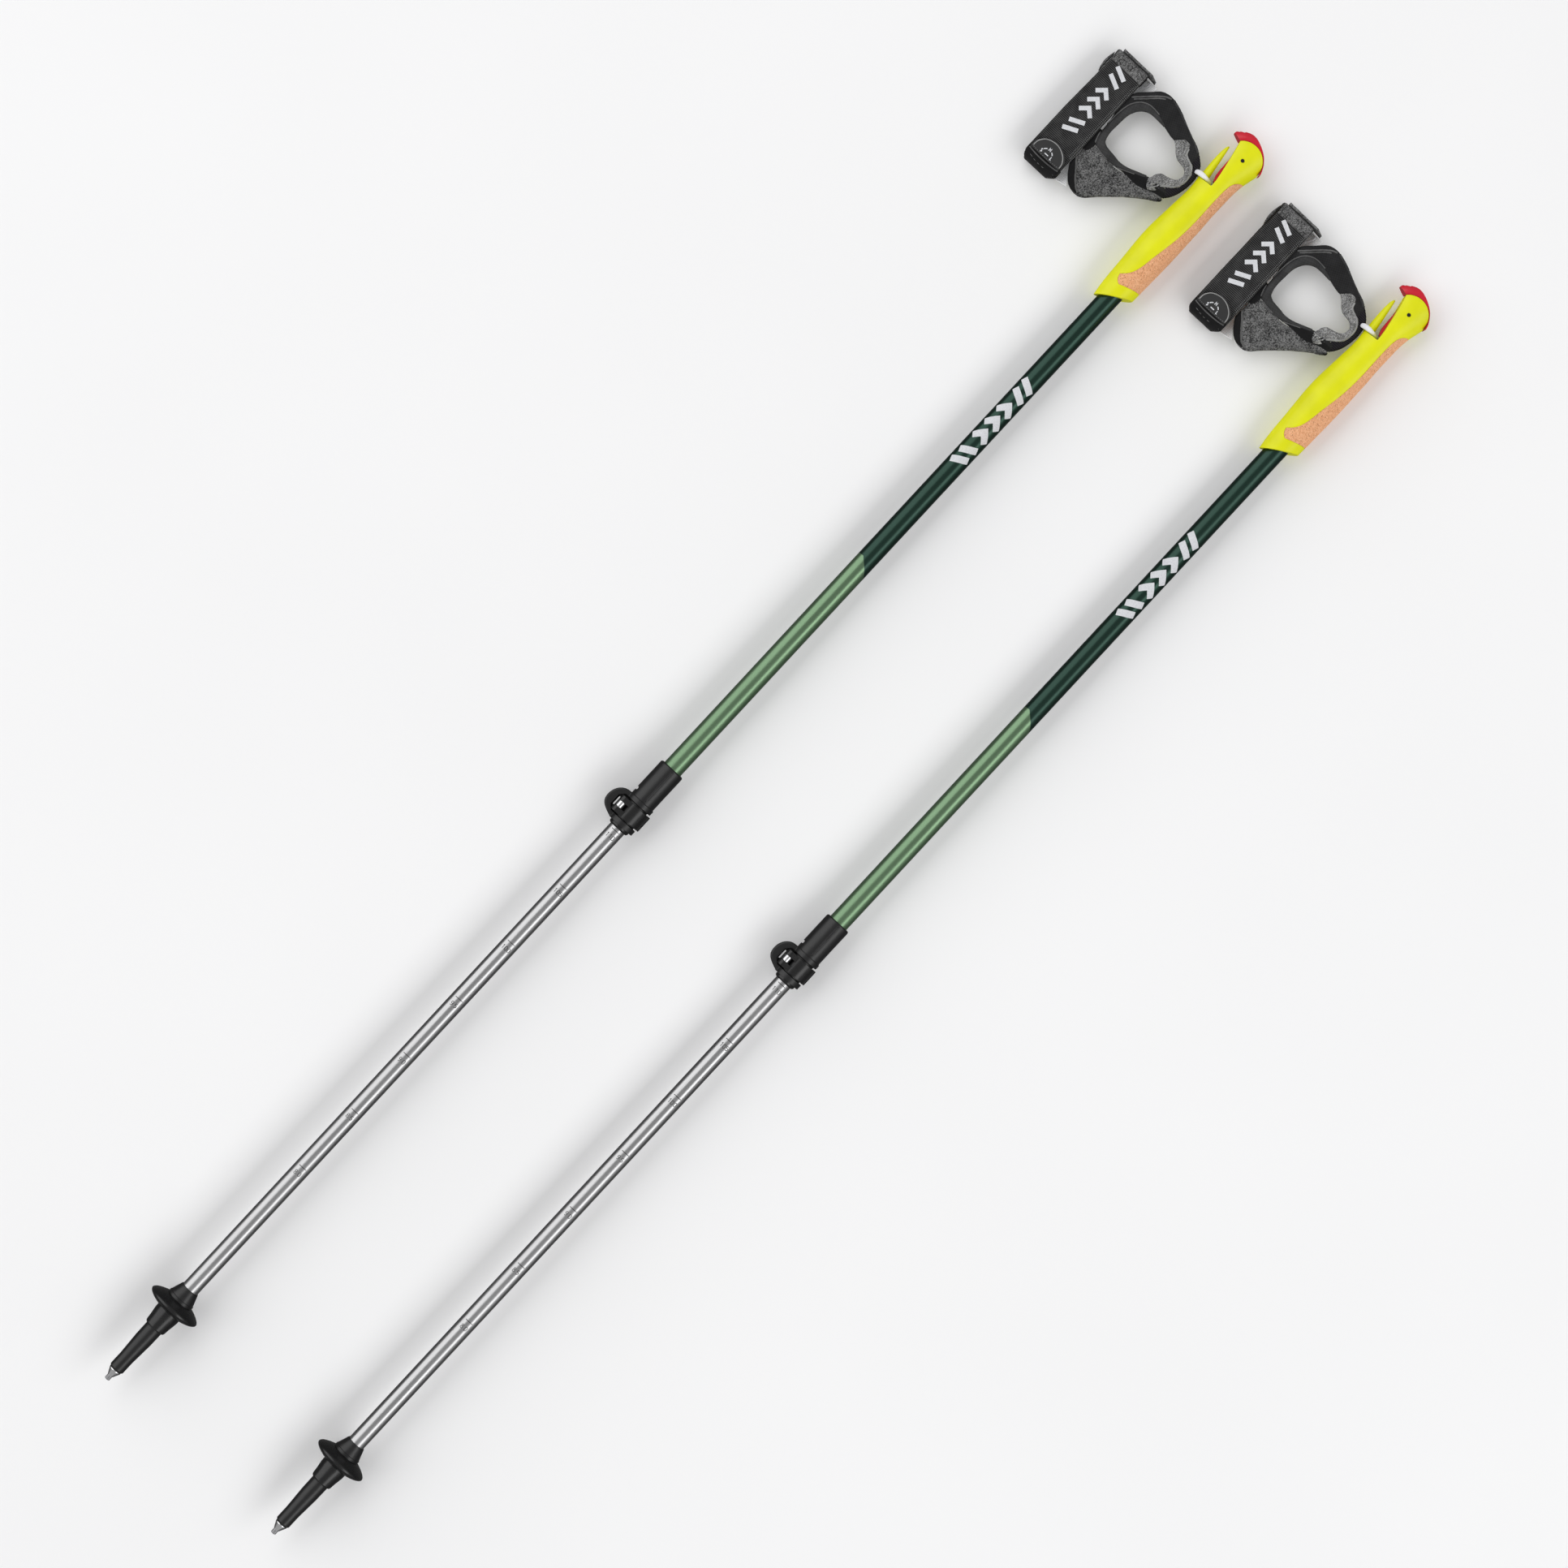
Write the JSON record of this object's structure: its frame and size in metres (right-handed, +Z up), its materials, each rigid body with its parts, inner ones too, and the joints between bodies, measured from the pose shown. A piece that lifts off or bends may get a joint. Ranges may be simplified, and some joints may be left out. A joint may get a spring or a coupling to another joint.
{
  "type": "trekking poles",
  "caption": "Adjustable two-section walking poles with beaked clip-in grips, wrist straps, lever clamps and small baskets.",
  "frame": {"origin": "the middle of the pair's footprint, on the floor that the poles lie on", "axes": "+X along the poles from tip to grip, +Y towards the side that the straps lie on, +Z up from the floor"},
  "size_m": [1.106, 0.2757, 0.0382],
  "materials": {
    "green_paint": "satin paint, light green below and dark green above",
    "yellow_grip": "soft neon yellow plastic, slightly glossy",
    "cork": "fine-grained cork, matt",
    "dark_steel": "blackened steel",
    "bright_steel": "bright steel",
    "dark_plastic": "charcoal moulded plastic",
    "silver_tube": "satin anodised aluminium",
    "carbide": "sintered carbide",
    "red_trigger": "glossy red plastic",
    "ring_white": "white cord sheath",
    "strap_grey": "padded dark grey fabric",
    "strap_heather": "heathered grey fabric",
    "webbing_black": "black webbing",
    "thumb_grey": "mid grey elastic binding",
    "webbing_band": "ribbed dark grey webbing",
    "lining_white": "pale mesh lining",
    "tab_grey": "soft dark grey tab with a pale edge"
  },
  "bodies": {
    "upper_a": {"upper_shaft_a": "green_paint", "grip_shell_a": "yellow_grip", "grip_cork_a": "cork", "trigger_pin_a": "dark_steel", "trigger_spring_a": "dark_steel", "clamp_housing_a": "dark_plastic", "clamp_pin_a": "bright_steel", "draw_screw_a": "bright_steel", "clamp_wiper_a": "dark_plastic"},
    "lower_a": {"lower_shaft_a": "silver_tube", "guide_plug_a": "dark_plastic", "tip_body_a": "dark_plastic", "tip_holder_a": "bright_steel", "tip_insert_a": "carbide"},
    "basket_a": {"basket_a": "dark_plastic"},
    "clamp_lever_a": {"clamp_lever_a": "dark_plastic"},
    "draw_nut_a": {"draw_nut_a": "bright_steel"},
    "trigger_a": {"trigger_lever_a": "red_trigger"},
    "ring_a": {"loop_ring_a": "ring_white"},
    "strap_a": {"strap_frame_a": "strap_grey", "strap_palm_a": "strap_heather", "strap_webbing_a": "webbing_black", "thumb_loop_a": "thumb_grey", "strap_band_a": "webbing_band", "strap_lining_a": "lining_white", "strap_tab_a": "tab_grey", "strap_tail_a": "webbing_band"},
    "upper_b": {"upper_shaft_b": "green_paint", "grip_shell_b": "yellow_grip", "grip_cork_b": "cork", "trigger_pin_b": "dark_steel", "trigger_spring_b": "dark_steel", "clamp_housing_b": "dark_plastic", "clamp_pin_b": "bright_steel", "draw_screw_b": "bright_steel", "clamp_wiper_b": "dark_plastic"},
    "lower_b": {"lower_shaft_b": "silver_tube", "guide_plug_b": "dark_plastic", "tip_body_b": "dark_plastic", "tip_holder_b": "bright_steel", "tip_insert_b": "carbide"},
    "basket_b": {"basket_b": "dark_plastic"},
    "clamp_lever_b": {"clamp_lever_b": "dark_plastic"},
    "draw_nut_b": {"draw_nut_b": "bright_steel"},
    "trigger_b": {"trigger_lever_b": "red_trigger"},
    "ring_b": {"loop_ring_b": "ring_white"},
    "strap_b": {"strap_frame_b": "strap_grey", "strap_palm_b": "strap_heather", "strap_webbing_b": "webbing_black", "thumb_loop_b": "thumb_grey", "strap_band_b": "webbing_band", "strap_lining_b": "lining_white", "strap_tab_b": "tab_grey", "strap_tail_b": "webbing_band"}
  },
  "joints": [
    {"name": "pole_b_lift", "type": "slide", "parent": "upper_a", "child": "upper_b", "axis": [0, 0, 1], "range_m": [0, 0.25]},
    {"name": "pole_slide_a", "type": "slide", "parent": "upper_a", "child": "lower_a", "axis": [1, 0, -0.0075], "range_m": [0, 0.3]},
    {"name": "basket_release_a", "type": "slide", "parent": "lower_a", "child": "basket_a", "axis": [-1, 0, 0.0075], "range_m": [0, 0.07]},
    {"name": "clamp_lever_a", "type": "hinge", "parent": "upper_a", "child": "clamp_lever_a", "pos_m": [-0.04944, 0.0383, 0.0233], "axis": [-1, 0, 0.0075], "range_deg": [0, 135]},
    {"name": "nut_spin_a", "type": "hinge", "parent": "upper_a", "child": "draw_nut_a", "pos_m": [-0.04955, 0.0383, 0.0088], "axis": [0.0075, 0, 1], "continuous": true},
    {"name": "ring_release_a", "type": "slide", "parent": "upper_a", "child": "ring_a", "axis": [0.9903, 0.1386, -0.0075], "range_m": [0, 0.022]},
    {"name": "trigger_a", "type": "hinge", "parent": "upper_a", "child": "trigger_a", "pos_m": [0.53428, 0.0263, 0.0114], "axis": [0.0075, 0, 1], "range_deg": [0, 15], "stiffness_Nm_per_rad": 0.4},
    {"name": "strap_swing_a", "type": "hinge", "parent": "ring_a", "child": "strap_a", "pos_m": [0.51034, 0.0439, 0.01158], "axis": [0.0075, 0, 1], "range_deg": [-35, 0]},
    {"name": "pole_slide_b", "type": "slide", "parent": "upper_b", "child": "lower_b", "axis": [1, 0, -0.0075], "range_m": [0, 0.3]},
    {"name": "basket_release_b", "type": "slide", "parent": "lower_b", "child": "basket_b", "axis": [-1, 0, 0.0075], "range_m": [0, 0.07]},
    {"name": "clamp_lever_b", "type": "hinge", "parent": "upper_b", "child": "clamp_lever_b", "pos_m": [-0.04944, -0.1097, 0.0233], "axis": [-1, 0, 0.0075], "range_deg": [0, 135]},
    {"name": "nut_spin_b", "type": "hinge", "parent": "upper_b", "child": "draw_nut_b", "pos_m": [-0.04955, -0.1097, 0.0088], "axis": [0.0075, 0, 1], "continuous": true},
    {"name": "ring_release_b", "type": "slide", "parent": "upper_b", "child": "ring_b", "axis": [0.9903, 0.1386, -0.0075], "range_m": [0, 0.022]},
    {"name": "trigger_b", "type": "hinge", "parent": "upper_b", "child": "trigger_b", "pos_m": [0.53428, -0.1217, 0.0114], "axis": [0.0075, 0, 1], "range_deg": [0, 15], "stiffness_Nm_per_rad": 0.4},
    {"name": "strap_swing_b", "type": "hinge", "parent": "ring_b", "child": "strap_b", "pos_m": [0.51034, -0.1041, 0.01158], "axis": [0.0075, 0, 1], "range_deg": [-35, 0]}
  ],
  "couplings": [
    {"joint": "trigger_a", "follows": "ring_release_a", "rad_per_m": 11.89},
    {"joint": "trigger_b", "follows": "ring_release_b", "rad_per_m": 11.89}
  ]
}
